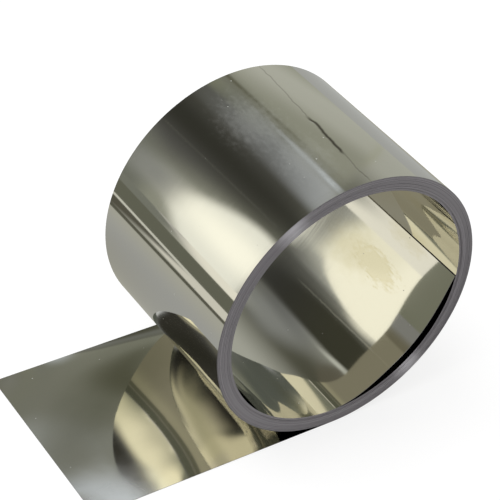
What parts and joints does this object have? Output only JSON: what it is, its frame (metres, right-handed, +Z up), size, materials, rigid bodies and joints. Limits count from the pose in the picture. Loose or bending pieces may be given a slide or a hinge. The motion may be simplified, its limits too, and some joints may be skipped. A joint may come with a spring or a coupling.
{
  "type": "stainless steel strip coil",
  "caption": "Coil of thin bright stainless steel strip lying on its turns, its outer end rolled out flat on the floor and its innermost lap sprung off the bore.",
  "frame": {"origin": "middle of the bore, half way along the strip's width", "axes": "+Y along the bore to the far end of the coil, +Z up, the outer end lies flat towards -X"},
  "size_m": [0.1995, 0.1008, 0.141],
  "materials": {
    "bright_steel": "bright annealed, close to a mirror, with slit edges left matt"
  },
  "bodies": {
    "root": {"steel_strip": "bright_steel"}
  },
  "joints": []
}
